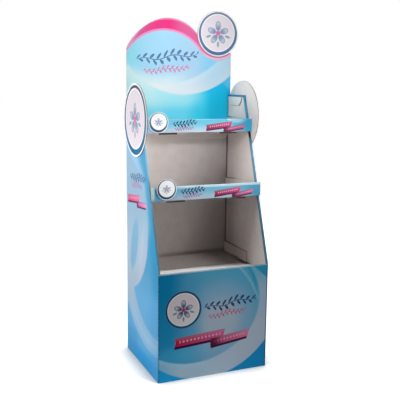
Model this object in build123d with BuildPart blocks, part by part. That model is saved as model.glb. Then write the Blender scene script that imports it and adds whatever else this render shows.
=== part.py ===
from build123d import *
import os

# Free-standing display stand of folded corrugated board.
# Millimetres. +X to the stand's right, +Y to its back, +Z up.
# Origin: on the floor, at the centre of the body's footprint.

os.makedirs("parts", exist_ok=True)

# ---------------------------------------------------------------- sizes
W = 500.0            # body width, outside
D = 421.0            # body depth, outside
H_FRONT = 462.0      # top of the closed front panel
H_SIDE = 1171.0      # top of the side walls
RUN_BACK = 251.0     # how far the sloped front edge runs back at the top
PLY = 4.0            # one thickness of board
PLY_GAP = 1.0        # air between the two plies of a turned-over wall
WALL = 2 * PLY + PLY_GAP
FIT = 0.3            # slack between pieces
FLAP = 38.0          # rear glue flap

X_OUT = W / 2
X_IN = X_OUT - WALL                  # inner face of a double side wall
Y_FRONT = -D / 2
Y_BACK = D / 2
Y_PANEL = Y_BACK - 2 * PLY           # inner face of the back panel
SLOPE = RUN_BACK / (H_SIDE - H_FRONT)
SKEW = PLY * (1 + SLOPE ** 2) ** 0.5  # one ply measured along Y at the slope


def slope_y(z):
    """Y of the sloped front edge of a side wall at height z."""
    return Y_FRONT + (z - H_FRONT) * SLOPE


LINER_BOTTOM = 330.0
TUCK_TOP = (55.0, 192.0)             # flap on the side's top edge, along Y
TUCK_DEPTH = 46.0

DECK_Z = 422.0                       # underside of the bottom deck
DECK_FLANGE = 471.0                  # top of its side flanges
DECK_SIDE_Y = -31.0                  # front end of its side flanges
DECK_FRONT = 458.0
MID_Z = 744.0                        # underside of the middle shelf
MID_LIP = 802.5
MID_FLANGE = 780.0                   # top of its side flanges at the rear
MID_RISE = 799.5                     # and at the front, level with the lip
MID_RISE_Y = -44.0
MID_EAR = 0.0                        # lip past the body, each side
TOP_Z = 1015.0                       # underside of the top shelf
TOP_LIP = 1070.5
TOP_FLANGE = 1066.0
TOP_EAR = 0.0
REAR_FLANGE = 36.0
TAB_PROUD = 8.0                      # lip locking tabs below the shelf
TAB_X0, TAB_X1 = 98.5, 181.0

X_TRAY = X_IN - 0.4                  # half width of every tray
X_FLANGE = X_TRAY - PLY
MID_Y = slope_y(MID_Z) - WALL - FIT  # front face of each lip
TOP_Y = slope_y(TOP_Z) - WALL - FIT

HEADER_FOOT = 966.0
HEADER_Y = Y_PANEL                   # rear face of the header card
HEADER_SHOULDER = 1366.0

# shelf tabs in the side walls: (underside z, (y centres), length)
HOOKS = [
    (DECK_Z, (-90.0, 90.0), 60.0),
    (MID_Z, (-30.0, 110.0), 60.0),
    (TOP_Z, (45.0, 135.0), 46.0),
]

# ---------------------------------------------------------------- body
# One printed sheet: front panel, both sides, their turned-in inner plies,
# the tucked top flaps and the two rear glue flaps.
with BuildPart() as body_wrap:
    with BuildSketch(Plane.YZ.offset(X_OUT - PLY)):
        with BuildLine():
            Polyline((Y_FRONT, 0), (Y_BACK, 0), (Y_BACK, H_SIDE),
                     (slope_y(H_SIDE), H_SIDE), (Y_FRONT, H_FRONT), close=True)
        make_face()
    extrude(amount=PLY)
    # inner ply, reached over the sloped edge
    with BuildSketch(Plane.YZ.offset(X_IN)):
        with BuildLine():
            Polyline((Y_FRONT + PLY + 0.5, LINER_BOTTOM), (Y_PANEL - 0.5, LINER_BOTTOM),
                     (Y_PANEL - 0.5, H_SIDE), (slope_y(H_SIDE), H_SIDE),
                     (Y_FRONT, H_FRONT), (Y_FRONT + PLY + 0.5, H_FRONT), close=True)
        make_face()
    extrude(amount=PLY)
    # sloped edge strip between the two creases
    with BuildSketch(Plane.YZ.offset(X_IN)):
        with BuildLine():
            Polyline((Y_FRONT, H_FRONT), (slope_y(H_SIDE), H_SIDE),
                     (slope_y(H_SIDE) + SKEW, H_SIDE), (Y_FRONT + SKEW, H_FRONT), close=True)
        make_face()
    extrude(amount=WALL)
    # top edge strip
    with BuildSketch(Plane.YZ.offset(X_IN)):
        with BuildLine():
            Polyline((slope_y(H_SIDE), H_SIDE), (Y_PANEL - 0.5, H_SIDE),
                     (Y_PANEL - 0.5, H_SIDE - PLY), (slope_y(H_SIDE) - PLY * SLOPE, H_SIDE - PLY),
                     close=True)
        make_face()
    extrude(amount=WALL)
    # flap of the top edge, folded down over the inner ply
    with BuildSketch(Plane.YZ.offset(X_IN - 0.5 - PLY)):
        with BuildLine():
            Polyline((TUCK_TOP[0], H_SIDE), (TUCK_TOP[0] + 4, H_SIDE - TUCK_DEPTH + 20),
                     (TUCK_TOP[0] + 23, H_SIDE - TUCK_DEPTH), (TUCK_TOP[1] - 23, H_SIDE - TUCK_DEPTH),
                     (TUCK_TOP[1] - 4, H_SIDE - TUCK_DEPTH + 20), (TUCK_TOP[1], H_SIDE), close=True)
        make_face()
    extrude(amount=PLY)
    with BuildSketch(Plane.YZ.offset(X_IN - 0.5 - PLY)):
        with Locations(((TUCK_TOP[0] + TUCK_TOP[1]) / 2, H_SIDE - PLY / 2)):
            Rectangle(TUCK_TOP[1] - TUCK_TOP[0], PLY)
    extrude(amount=PLY + 1.0)
    # rear glue flap
    with BuildSketch(Plane.XZ.offset(-Y_BACK)):
        with BuildLine():
            Polyline((X_OUT, 0), (X_OUT, H_SIDE), (X_OUT - PLY, H_SIDE),
                     (X_OUT - PLY - FLAP, H_SIDE - 22), (X_OUT - PLY - FLAP, 22),
                     (X_OUT - PLY, 0), close=True)
        make_face()
    extrude(amount=PLY)
    # slots for the shelf hooks, through the inner ply only
    for hook_z, hook_ys, hook_len in HOOKS:
        with BuildSketch(Plane.YZ.offset(X_IN - 0.2)):
            with Locations(*[(hy, hook_z + PLY / 2) for hy in hook_ys]):
                Rectangle(hook_len + 1.0, PLY + 0.6)
        extrude(amount=PLY + 0.4, mode=Mode.SUBTRACT)
    mirror(about=Plane.YZ)
    # front panel
    with BuildSketch(Plane.XZ.offset(-Y_FRONT - PLY)):
        with Locations((0, H_FRONT / 2)):
            Rectangle(W - 2, H_FRONT)
    extrude(amount=PLY)
    # soft creases: the four long vertical folds and the sloped edge folds
    folds = body_wrap.edges().filter_by(Axis.Z).filter_by(
        lambda e: abs(abs(e.center().X) - X_OUT) < 0.01 and e.length > 300)
    fillet(folds, radius=2.6)
    slants = body_wrap.edges().filter_by(
        lambda e: e.length > 600 and abs(e.tangent_at(0.5).Y) > 0.2
        and min(abs(abs(e.center().X) - X_OUT), abs(abs(e.center().X) - X_IN)) < 0.01)
    fillet(slants, radius=1.8)
body_wrap.part.label = "body_wrap"

with BuildPart() as back_panel:
    with BuildSketch(Plane.XZ.offset(-Y_BACK + PLY)):
        with Locations((0, H_SIDE / 2)):
            Rectangle(2 * (X_OUT - PLY - FIT), H_SIDE)
    extrude(amount=PLY)
back_panel.part.label = "back_panel"

# ---------------------------------------------------------------- base
BT_X = X_OUT - PLY - FIT
BT_Y0 = Y_FRONT + PLY + FIT
BT_Y1 = Y_PANEL - FIT
BT_H = 64.0
with BuildPart() as base_tray:
    with BuildSketch(Plane.XY):
        with Locations((0, (BT_Y0 + BT_Y1) / 2)):
            Rectangle(2 * BT_X, BT_Y1 - BT_Y0)
    extrude(amount=PLY)
    with BuildSketch(Plane.XY):
        with Locations((BT_X - PLY / 2, (BT_Y0 + BT_Y1) / 2), (-BT_X + PLY / 2, (BT_Y0 + BT_Y1) / 2)):
            Rectangle(PLY, BT_Y1 - BT_Y0)
        with Locations((0, BT_Y0 + PLY / 2), (0, BT_Y1 - PLY / 2)):
            Rectangle(2 * (BT_X - PLY - FIT), PLY)
    extrude(amount=BT_H)
base_tray.part.label = "base_tray"

# two slotted boards that cross under the deck and carry it
CROSS_Z0 = PLY
CROSS_HALF = (DECK_Z + CROSS_Z0) / 2
with BuildPart() as support_board_wide:
    with BuildSketch(Plane.XZ.offset(-PLY / 2)):
        with Locations((0, (DECK_Z + CROSS_Z0) / 2)):
            Rectangle(2 * (X_IN - 0.4), DECK_Z - CROSS_Z0)
        with Locations((0, (DECK_Z + CROSS_HALF) / 2)):
            Rectangle(PLY + 2 * FIT, DECK_Z - CROSS_HALF, mode=Mode.SUBTRACT)
    extrude(amount=PLY)
support_board_wide.part.label = "support_board_wide"

with BuildPart() as support_board_deep:
    with BuildSketch(Plane.YZ.offset(-PLY / 2)):
        with Locations(((BT_Y0 + PLY + BT_Y1 - PLY) / 2, (DECK_Z + CROSS_Z0) / 2)):
            Rectangle(BT_Y1 - BT_Y0 - 2 * PLY - 2 * FIT, DECK_Z - CROSS_Z0)
        with Locations((0, (CROSS_Z0 + CROSS_HALF) / 2)):
            Rectangle(PLY + 2 * FIT, CROSS_HALF - CROSS_Z0, mode=Mode.SUBTRACT)
        # step that clears the deck's rear flange
        with Locations((BT_Y1 - PLY, DECK_Z - REAR_FLANGE / 2)):
            Rectangle(6, REAR_FLANGE + 6, mode=Mode.SUBTRACT)
    extrude(amount=PLY)
support_board_deep.part.label = "support_board_deep"

# ---------------------------------------------------------------- deck
with BuildPart() as deck_tray:
    dk_y0 = Y_FRONT + PLY + 0.5
    dk_y1 = Y_PANEL - FIT
    with BuildSketch(Plane.XY.offset(DECK_Z)):
        with Locations((0, (dk_y0 + dk_y1) / 2)):
            Rectangle(2 * X_TRAY, dk_y1 - dk_y0)
        with Locations(*[(sx * (X_TRAY + 2), hy) for sx in (-1, 1) for hy in HOOKS[0][1]]):
            Rectangle(4.2, HOOKS[0][2])
    extrude(amount=PLY)
    with BuildSketch(Plane.YZ.offset(X_FLANGE)):
        with BuildLine():
            Polyline((DECK_SIDE_Y, DECK_Z), (dk_y1, DECK_Z), (dk_y1, DECK_FLANGE),
                     (DECK_SIDE_Y, DECK_FLANGE), close=True)
        make_face()
        with Locations(*[(hy, DECK_Z + PLY + 2.1) for hy in HOOKS[0][1]]):
            Rectangle(HOOKS[0][2] + 0.6, 4.2, mode=Mode.SUBTRACT)
    extrude(amount=PLY)
    mirror(about=Plane.YZ)
    with BuildSketch(Plane.XZ.offset(-dk_y0 - PLY)):
        with Locations((0, (DECK_Z + DECK_FRONT) / 2)):
            Rectangle(2 * X_FLANGE, DECK_FRONT - DECK_Z)
    extrude(amount=PLY)
    with BuildSketch(Plane.XZ.offset(-dk_y1)):
        with Locations((0, DECK_Z + PLY - (REAR_FLANGE + PLY) / 2)):
            Rectangle(2 * X_FLANGE, REAR_FLANGE + PLY)
    extrude(amount=PLY)
deck_tray.part.label = "deck_tray"

# ---------------------------------------------------------------- shelves
# Each shelf is one sheet: floor, side flanges folded up, rear flange folded
# down, and a front lip turned over and locked by two tabs through the floor.
with BuildPart() as middle_shelf:
    y0 = MID_Y
    y1 = Y_PANEL - FIT
    with BuildSketch(Plane.XY.offset(MID_Z)):
        with Locations((0, (y0 + y1) / 2)):
            Rectangle(2 * X_TRAY, y1 - y0)
        with Locations(*[(sx * (X_TRAY + 2), hy) for sx in (-1, 1) for hy in HOOKS[1][1]]):
            Rectangle(4.2, HOOKS[1][2])
        with Locations(*[(sx * (TAB_X0 + TAB_X1) / 2, y0 + WALL - PLY / 2) for sx in (-1, 1)]):
            Rectangle(TAB_X1 - TAB_X0 + 1.0, PLY + 0.4, mode=Mode.SUBTRACT)
    extrude(amount=PLY)
    with BuildSketch(Plane.YZ.offset(X_FLANGE)):
        with BuildLine():
            Polyline((y0 + 14, MID_Z), (y1, MID_Z), (y1, MID_FLANGE), (MID_RISE_Y, MID_RISE),
                     (y0 + 36, MID_RISE), (y0 + 14, MID_Z + 10), close=True)
        make_face()
        with Locations(*[(hy, MID_Z + PLY + 2.1) for hy in HOOKS[1][1]]):
            Rectangle(HOOKS[1][2] + 0.6, 4.2, mode=Mode.SUBTRACT)
    extrude(amount=PLY)
    mirror(about=Plane.YZ)
    with BuildSketch(Plane.XZ.offset(-y1)):
        with Locations((0, MID_Z + PLY - (REAR_FLANGE + PLY) / 2)):
            Rectangle(2 * X_FLANGE, REAR_FLANGE + PLY)
    extrude(amount=PLY)
    # lip: front ply, top strip, inner ply, tabs
    with BuildSketch(Plane.YZ.offset(-X_OUT - MID_EAR)):
        with BuildLine():
            Polyline((y0, MID_Z), (y0 + PLY, MID_Z), (y0 + PLY, MID_LIP - PLY),
                     (y0 + PLY + PLY_GAP, MID_LIP - PLY), (y0 + PLY + PLY_GAP, MID_Z + PLY + 0.4),
                     (y0 + WALL, MID_Z + PLY + 0.4), (y0 + WALL, MID_LIP), (y0, MID_LIP), close=True)
        make_face()
    extrude(amount=W + 2 * MID_EAR)
    with BuildSketch(Plane.XZ.offset(-y0 - WALL)):
        with Locations(*[(sx * (TAB_X0 + TAB_X1) / 2, MID_Z + (PLY + 0.4 - TAB_PROUD) / 2) for sx in (-1, 1)]):
            Rectangle(TAB_X1 - TAB_X0, PLY + 0.4 + TAB_PROUD)
    extrude(amount=PLY)
    lip_folds = middle_shelf.edges().filter_by(Axis.X).filter_by(
        lambda e: e.length > 400 and abs(e.center().Z - MID_LIP) < 0.01)
    fillet(lip_folds, radius=2.6)
    lip_foot = middle_shelf.edges().filter_by(Axis.X).filter_by(
        lambda e: e.length > 400 and abs(e.center().Z - MID_Z) < 0.01 and abs(e.center().Y - y0) < 0.01)
    fillet(lip_foot, radius=2.0)
middle_shelf.part.label = "middle_shelf"

with BuildPart() as top_shelf:
    y0 = TOP_Y
    y1 = HEADER_Y - PLY - FIT
    with BuildSketch(Plane.XY.offset(TOP_Z)):
        with Locations((0, (y0 + y1) / 2)):
            Rectangle(2 * X_TRAY, y1 - y0)
        with Locations(*[(sx * (X_TRAY + 2), hy) for sx in (-1, 1) for hy in HOOKS[2][1]]):
            Rectangle(4.2, HOOKS[2][2])
        with Locations(*[(sx * (TAB_X0 + TAB_X1) / 2, y0 + WALL - PLY / 2) for sx in (-1, 1)]):
            Rectangle(TAB_X1 - TAB_X0 + 1.0, PLY + 0.4, mode=Mode.SUBTRACT)
    extrude(amount=PLY)
    with BuildSketch(Plane.YZ.offset(X_FLANGE)):
        with BuildLine():
            Polyline((y0 + 14, TOP_Z), (y1, TOP_Z), (y1, TOP_FLANGE),
                     (y0 + 44, TOP_FLANGE), (y0 + 14, TOP_Z + 10), close=True)
        make_face()
        with Locations(*[(hy, TOP_Z + PLY + 2.1) for hy in HOOKS[2][1]]):
            Rectangle(HOOKS[2][2] + 0.6, 4.2, mode=Mode.SUBTRACT)
    extrude(amount=PLY)
    mirror(about=Plane.YZ)
    with BuildSketch(Plane.XZ.offset(-y1)):
        with Locations((0, TOP_Z + PLY - (REAR_FLANGE + PLY) / 2)):
            Rectangle(2 * X_FLANGE, REAR_FLANGE + PLY)
    extrude(amount=PLY)
    with BuildSketch(Plane.YZ.offset(-X_OUT - TOP_EAR)):
        with BuildLine():
            Polyline((y0, TOP_Z), (y0 + PLY, TOP_Z), (y0 + PLY, TOP_LIP - PLY),
                     (y0 + PLY + PLY_GAP, TOP_LIP - PLY), (y0 + PLY + PLY_GAP, TOP_Z + PLY + 0.4),
                     (y0 + WALL, TOP_Z + PLY + 0.4), (y0 + WALL, TOP_LIP), (y0, TOP_LIP), close=True)
        make_face()
    extrude(amount=W + 2 * TOP_EAR)
    with BuildSketch(Plane.XZ.offset(-y0 - WALL)):
        with Locations(*[(sx * (TAB_X0 + TAB_X1) / 2, TOP_Z + (PLY + 0.4 - TAB_PROUD) / 2) for sx in (-1, 1)]):
            Rectangle(TAB_X1 - TAB_X0, PLY + 0.4 + TAB_PROUD)
    extrude(amount=PLY)
    lip_folds = top_shelf.edges().filter_by(Axis.X).filter_by(
        lambda e: e.length > 400 and abs(e.center().Z - TOP_LIP) < 0.01)
    fillet(lip_folds, radius=2.6)
    lip_foot = top_shelf.edges().filter_by(Axis.X).filter_by(
        lambda e: e.length > 400 and abs(e.center().Z - TOP_Z) < 0.01 and abs(e.center().Y - y0) < 0.01)
    fillet(lip_foot, radius=2.0)
top_shelf.part.label = "top_shelf"

# ---------------------------------------------------------------- header
# Flat card: a foot between the side walls, shoulders over them, and a
# lopsided arch that runs down behind the round disc at the right.
with BuildPart() as header_card:
    with BuildSketch(Plane.XZ.offset(-HEADER_Y)):
        with BuildLine():
            Polyline((-X_OUT, HEADER_SHOULDER), (-X_OUT, H_SIDE + FIT), (-X_TRAY, H_SIDE + FIT),
                     (-X_TRAY, HEADER_FOOT + 14), (-X_TRAY + 14, HEADER_FOOT),
                     (X_TRAY - 14, HEADER_FOOT), (X_TRAY, HEADER_FOOT + 14),
                     (X_TRAY, H_SIDE + FIT), (X_OUT, H_SIDE + FIT), (X_OUT, HEADER_SHOULDER - 8))
            Spline((X_OUT, HEADER_SHOULDER - 8), (190, 1367), (125, 1394), (76, 1444),
                   (17, 1487), (-48, 1502), (-116, 1491), (-172, 1459), (-219, 1417),
                   (-X_OUT, HEADER_SHOULDER))
        make_face()
    extrude(amount=PLY)
header_card.part.label = "header_card"

HD_X, HD_Z, HD_R = 181.3, 1441.9, 100.7
with BuildPart() as header_disc:
    with BuildSketch(Plane.XZ.offset(-HEADER_Y + PLY)):
        with Locations((HD_X, HD_Z)):
            Circle(HD_R)
    extrude(amount=PLY)
header_disc.part.label = "header_disc"

# ---------------------------------------------------------------- discs
SD_R = 155.0
with BuildPart() as left_side_disc:
    with BuildSketch(Plane.YZ.offset(-X_OUT - PLY)):
        with Locations((74.1, 1063.0)):
            Circle(SD_R)
    extrude(amount=PLY)
left_side_disc.part.label = "left_side_disc"

with BuildPart() as right_side_disc:
    with BuildSketch(Plane.YZ.offset(X_OUT)):
        with Locations((73.4, 1079.4)):
            Circle(SD_R)
    extrude(amount=PLY)
right_side_disc.part.label = "right_side_disc"

with BuildPart() as top_lip_disc:
    with BuildSketch(Plane.XZ.offset(-TOP_Y)):
        with Locations((-184.8, 1058.4)):
            Circle(43.2)
    extrude(amount=PLY)
top_lip_disc.part.label = "top_lip_disc"

with BuildPart() as middle_lip_disc:
    with BuildSketch(Plane.XZ.offset(-MID_Y)):
        with Locations((-183.5, 792.6)):
            Circle(43.4)
    extrude(amount=PLY)
middle_lip_disc.part.label = "middle_lip_disc"

for piece in (body_wrap, back_panel, base_tray, support_board_wide, support_board_deep,
              deck_tray, middle_shelf, top_shelf, header_card, header_disc,
              left_side_disc, right_side_disc, top_lip_disc, middle_lip_disc):
    export_step(piece.part, "parts/" + piece.part.label + ".step")
    print(piece.part.label, len(piece.part.solids()), round(piece.part.volume / 1000.0, 1), "cm3")
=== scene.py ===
import math

import bmesh
import bpy
from mathutils import Matrix, Vector


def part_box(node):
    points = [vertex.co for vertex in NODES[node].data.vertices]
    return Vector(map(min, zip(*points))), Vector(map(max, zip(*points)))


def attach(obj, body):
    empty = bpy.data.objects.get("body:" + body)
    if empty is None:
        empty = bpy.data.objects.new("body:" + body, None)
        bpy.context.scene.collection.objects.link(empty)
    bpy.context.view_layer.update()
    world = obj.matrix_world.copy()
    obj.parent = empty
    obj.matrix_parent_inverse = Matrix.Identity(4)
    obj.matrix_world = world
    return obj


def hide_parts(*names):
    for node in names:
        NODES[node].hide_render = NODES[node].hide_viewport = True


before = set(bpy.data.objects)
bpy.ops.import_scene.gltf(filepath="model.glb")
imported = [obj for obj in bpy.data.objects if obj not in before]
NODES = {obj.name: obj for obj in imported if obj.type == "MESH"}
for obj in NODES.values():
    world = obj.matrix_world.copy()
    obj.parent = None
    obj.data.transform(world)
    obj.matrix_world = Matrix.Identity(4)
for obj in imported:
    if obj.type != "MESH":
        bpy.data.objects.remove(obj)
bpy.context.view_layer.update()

# Free-standing display stand of folded corrugated board.
# Metres, +X to the stand's right, +Y to its back, +Z up. Layout numbers below
# are millimetres in the same frame.

MM = 0.001

# sizes that the print and the inside of the board follow, as in the CAD model
W, H_FRONT, H_SIDE = 500.0, 462.0, 1171.0
X_OUT, X_IN, PLY = 250.0, 241.0, 4.0
Y_FRONT, Y_BACK, Y_PANEL = -210.5, 210.5, 202.5
SLOPE = 251.0 / 709.0
TOP_Z, TOP_LIP, TOP_FLANGE = 1015.0, 1070.5, 1066.0
MID_Z, MID_LIP, MID_FLANGE = 744.0, 802.5, 780.0
MID_RISE, MID_RISE_Y = 799.5, -44.0  # its flanges rise towards the front
DECK_Z, DECK_FLANGE, DECK_FRONT, DECK_SIDE_Y = 422.0, 471.0, 458.0, -31.0
MID_Y = Y_FRONT + (MID_Z - H_FRONT) * SLOPE - 9.3
TOP_Y = Y_FRONT + (TOP_Z - H_FRONT) * SLOPE - 9.3
PITCH = 7.5          # one flute
LINER = 0.4          # paper of one face
SWING = 1.42         # half travel of the fluted paper
FLUTE_SHEET = 0.32   # its thickness


def slope_y(z):
    return Y_FRONT + (z - H_FRONT) * SLOPE


# ------------------------------------------------------------------ colours
def srgb(r, g, b, k=1.0):
    """Linear RGBA of a 0-255 colour, made k times lighter or darker."""
    out = []
    for c in (r, g, b):
        c /= 255.0
        c = c / 12.92 if c <= 0.04045 else ((c + 0.055) / 1.055) ** 2.4
        out.append(min(c * k, 0.92))
    return (*out, 1.0)


# --------------------------------------------------------- node arithmetic
class Sym:
    """A value in a material's node tree, written with ordinary arithmetic."""

    def __init__(self, graph, socket):
        self.g, self.s = graph, socket

    def __add__(self, o): return self.g.math("ADD", self, o)
    def __radd__(self, o): return self.g.math("ADD", o, self)
    def __sub__(self, o): return self.g.math("SUBTRACT", self, o)
    def __rsub__(self, o): return self.g.math("SUBTRACT", o, self)
    def __mul__(self, o): return self.g.math("MULTIPLY", self, o)
    def __rmul__(self, o): return self.g.math("MULTIPLY", o, self)
    def __truediv__(self, o): return self.g.math("DIVIDE", self, o)
    def __neg__(self): return self.g.math("MULTIPLY", self, -1.0)
    def __abs__(self): return self.g.math("ABSOLUTE", self)


class Graph:
    def __init__(self, name):
        self.m = bpy.data.materials.new(name)
        self.m.use_nodes = True
        self.t = self.m.node_tree
        self.n = self.t.nodes
        self.shader = self.n["Principled BSDF"]

    def put(self, socket, value):
        if isinstance(value, Sym):
            self.t.links.new(value.s, socket)
        else:
            socket.default_value = value

    def math(self, op, *args, clamp=False):
        node = self.n.new("ShaderNodeMath")
        node.operation = op
        node.use_clamp = clamp
        for i, a in enumerate(args):
            self.put(node.inputs[i], a)
        return Sym(self, node.outputs[0])

    def min(self, a, b): return self.math("MINIMUM", a, b)
    def max(self, a, b): return self.math("MAXIMUM", a, b)
    def sin(self, a): return self.math("SINE", a)

    def ramp(self, x, a, b, lo=0.0, hi=1.0, kind="SMOOTHSTEP"):
        """Goes from lo at x=a to hi at x=b."""
        node = self.n.new("ShaderNodeMapRange")
        node.interpolation_type = kind
        self.put(node.inputs["Value"], x)
        if a > b:
            a, b, lo, hi = b, a, hi, lo
        for name, v in (("From Min", a), ("From Max", b), ("To Min", lo), ("To Max", hi)):
            node.inputs[name].default_value = v
        return Sym(self, node.outputs["Result"])

    def cover(self, d, soft=1.2):
        """1 where the signed distance d is inside (negative)."""
        return self.ramp(d, -soft / 2, soft / 2, 1.0, 0.0)

    def mix(self, f, a, b):
        node = self.n.new("ShaderNodeMix")
        node.data_type = "RGBA"
        node.clamp_factor = True
        self.put(node.inputs[0], f)
        self.put(node.inputs[6], a)
        self.put(node.inputs[7], b)
        return Sym(self, node.outputs[2])

    def scale(self, colour, f):
        """A colour times a grey value."""
        node = self.n.new("ShaderNodeVectorMath")
        node.operation = "SCALE"
        self.put(node.inputs[0], colour)
        self.put(node.inputs["Scale"], f)
        return Sym(self, node.outputs[0])

    def place(self):
        """Object coordinates in millimetres: x, y, z."""
        tex = self.n.new("ShaderNodeTexCoord")
        sep = self.n.new("ShaderNodeSeparateXYZ")
        self.t.links.new(tex.outputs["Object"], sep.inputs[0])
        self.raw = Sym(self, tex.outputs["Object"])
        return [Sym(self, o) * 1000.0 for o in sep.outputs]

    def point(self, u, v):
        node = self.n.new("ShaderNodeCombineXYZ")
        self.put(node.inputs[0], u)
        self.put(node.inputs[1], v)
        return Sym(self, node.outputs[0])

    def far(self, p, centre):
        """Distance of a point from a fixed centre."""
        node = self.n.new("ShaderNodeVectorMath")
        node.operation = "DISTANCE"
        self.put(node.inputs[0], p)
        node.inputs[1].default_value = (*centre, 0.0)
        return Sym(self, node.outputs["Value"])

    def oval(self, p, centre, semi, turn=0.0):
        """Rough signed distance to a turned ellipse."""
        node = self.n.new("ShaderNodeMapping")
        node.vector_type = "TEXTURE"
        self.put(node.inputs["Vector"], p)
        node.inputs["Location"].default_value = (*centre, 0.0)
        node.inputs["Rotation"].default_value = (0.0, 0.0, math.radians(turn))
        node.inputs["Scale"].default_value = (*semi, 1.0)
        length = self.n.new("ShaderNodeVectorMath")
        length.operation = "LENGTH"
        self.t.links.new(node.outputs[0], length.inputs[0])
        return (Sym(self, length.outputs["Value"]) - 1.0) * min(semi)

    def noise(self, scale, detail=3.0, rough=0.5, stretch=None):
        node = self.n.new("ShaderNodeTexNoise")
        node.inputs["Scale"].default_value = scale
        node.inputs["Detail"].default_value = detail
        node.inputs["Roughness"].default_value = rough
        src = self.raw
        if stretch:
            mp = self.n.new("ShaderNodeMapping")
            mp.inputs["Scale"].default_value = stretch
            self.t.links.new(src.s, mp.inputs["Vector"])
            src = Sym(self, mp.outputs[0])
        self.t.links.new(src.s, node.inputs["Vector"])
        return Sym(self, node.outputs["Fac"])

    def finish(self, colour, roughness, height=None, depth=0.00012, strength=0.6,
               specular=0.4, coat=0.0, coat_roughness=0.3):
        self.put(self.shader.inputs["Base Color"], colour)
        self.put(self.shader.inputs["Roughness"], roughness)
        self.shader.inputs["Specular IOR Level"].default_value = specular
        if coat:
            self.shader.inputs["Coat Weight"].default_value = coat
            self.shader.inputs["Coat Roughness"].default_value = coat_roughness
        if height is not None:
            bump = self.n.new("ShaderNodeBump")
            bump.inputs["Strength"].default_value = strength
            bump.inputs["Distance"].default_value = depth
            self.put(bump.inputs["Height"], height)
            self.t.links.new(bump.outputs[0], self.shader.inputs["Normal"])
        return self.m


# ---------------------------------------------------------- shared finishes
def flutes(g, across):
    """The faint washboard that the fluted paper prints through a liner."""
    return g.sin(across * (2 * math.pi / PITCH))


def printed(g, colour, across, scuff=1.0, fold=None, shine=0.22):
    """Ink under a satin varnish on clay-coated paper. fold is the distance to the nearest crease, where the colour is
    darkened as painted shade and the coating is finely cracked."""
    fine = g.noise(420.0, 4.0, 0.6)
    broad = g.noise(7.0, 3.0, 0.55)
    wash = flutes(g, across)
    shade = 0.965 + broad * 0.05 + fine * 0.02 + wash * 0.006
    colour = g.scale(colour, shade)
    # dust and rubbed spots, sparse and pale
    spots = g.ramp(g.noise(60.0, 6.0, 0.72), 0.66, 0.76) * g.ramp(g.noise(4.5, 2.0, 0.5), 0.5, 0.66)
    colour = g.mix(spots * 0.16 * scuff, colour, srgb(225, 228, 232))
    if fold is not None:
        # painted shade darkens the colour next to a crease; the fine cracks are wear
        colour = g.mix(g.ramp(fold, 5.0, 0.6) * 0.5, colour, srgb(14, 84, 136))
        crack = g.ramp(fold, 1.8, 0.5) * g.ramp(g.noise(330.0, 4.0, 0.7), 0.54, 0.6)
        colour = g.mix(crack * 0.55, colour, srgb(214, 224, 230))
    rough = 0.36 + broad * 0.1 + spots * 0.2
    return g.finish(colour, rough, wash * 0.5 + fine * 0.35 + broad * 1.4, depth=0.00016,
                    strength=0.5, specular=shine)


def liner(name, axis, tone=1.0, over=None):
    """Unprinted white-top paper; axis is the direction across the flutes. over may lay print, painted shade or
    painted light on top of the colour."""
    g = Graph(name)
    xyz = g.place()
    wash = flutes(g, xyz[axis])
    fibre = g.noise(520.0, 5.0, 0.7)
    cloud = g.noise(26.0, 5.0, 0.62)
    broad = g.noise(3.2, 2.0, 0.5)
    stretch = [60.0, 60.0, 60.0]
    stretch[axis] = 900.0
    streak = g.noise(1.0, 2.0, 0.5, stretch=tuple(stretch))
    shade = 0.93 + fibre * 0.05 + cloud * 0.03 + broad * 0.03 + streak * 0.025 + wash * 0.01
    colour = g.mix(g.ramp(cloud + fibre * 0.4, 0.5, 0.95), srgb(233, 226, 223, tone), srgb(225, 217, 213, tone))
    colour = g.scale(colour, shade)
    specks = g.ramp(g.noise(300.0, 2.0, 0.5), 0.71, 0.76) * 0.3
    colour = g.mix(specks, colour, srgb(166, 150, 134))
    if over is not None:
        colour = over(g, xyz, colour)
    return g.finish(colour, 0.74 + fibre * 0.14, wash * 0.55 + fibre * 0.6 + cloud * 0.5,
                    depth=0.00016, strength=0.55, specular=0.22)


def kraft(name, axis):
    g = Graph(name)
    xyz = g.place()
    wash = flutes(g, xyz[axis])
    fibre = g.noise(480.0, 5.0, 0.7)
    cloud = g.noise(30.0, 5.0, 0.6)
    colour = g.mix(cloud, srgb(186, 150, 108), srgb(160, 124, 84))
    colour = g.scale(colour, 0.88 + fibre * 0.2 + wash * 0.02)
    dark = g.ramp(g.noise(260.0, 2.0, 0.5), 0.68, 0.74) * 0.3
    colour = g.mix(dark, colour, srgb(112, 82, 54))
    return g.finish(colour, 0.82 + fibre * 0.1, wash * 0.4 + fibre * 0.8, depth=0.0002,
                    strength=0.6, specular=0.18)


# colour of the painted shade laid into the bays, corners and joints
SHADE = srgb(68, 50, 45)


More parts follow.
